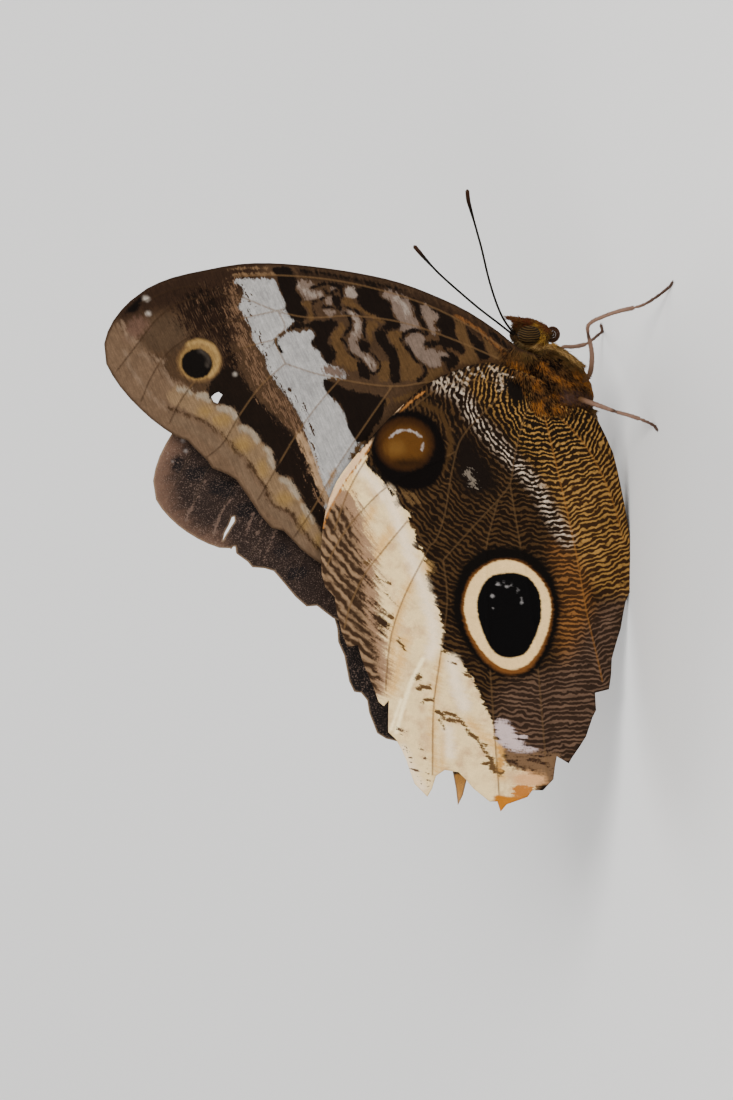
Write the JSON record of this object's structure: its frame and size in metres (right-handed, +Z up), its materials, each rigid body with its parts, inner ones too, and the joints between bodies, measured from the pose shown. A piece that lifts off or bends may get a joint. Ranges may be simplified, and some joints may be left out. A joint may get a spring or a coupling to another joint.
{
  "type": "owl butterfly at rest, still life-size model",
  "caption": "Large butterfly at rest, wings closed over its back, standing on its middle and hind feet and the wings' lower edge.",
  "frame": {"origin": "middle of the whole box, on the floor that the feet and the wings' lower edge rest on", "axes": "+X towards the head, +Y towards the animal's left, +Z up from the floor, away from the belly"},
  "size_m": [0.1086, 0.0398, 0.0962],
  "materials": {
    "thorax_hair": "dense orange-brown hair with dark flecks",
    "abdomen_hair": "short brown hair",
    "head_hair": "short dark hair with pale flecks",
    "eye": "dark brown, faintly banded, glossy",
    "palp_hair": "brown and pale hair",
    "antenna": "black-brown, finely ringed",
    "proboscis": "dark, smooth",
    "forewing_scales": "matt wing scales, patterned brown, black and cream",
    "hindwing_scales": "matt wing scales, brown ripples, two eyespots and a cream band",
    "foreleg_hair": "pale yellow hair",
    "leg": "tan brown, finely haired"
  },
  "bodies": {
    "root": {"thorax": "thorax_hair", "abdomen": "abdomen_hair", "head": "head_hair", "eye_right": "eye", "eye_left": "eye", "palp_right": "palp_hair", "palp_left": "palp_hair", "antenna_right": "antenna", "antenna_left": "antenna", "proboscis": "proboscis", "forewing_right": "forewing_scales", "forewing_left": "forewing_scales", "hindwing_right": "hindwing_scales", "hindwing_left": "hindwing_scales", "foreleg_right": "foreleg_hair", "foreleg_left": "foreleg_hair", "midleg_right": "leg", "midleg_left": "leg", "hindleg_right": "leg", "hindleg_left": "leg"}
  },
  "joints": []
}
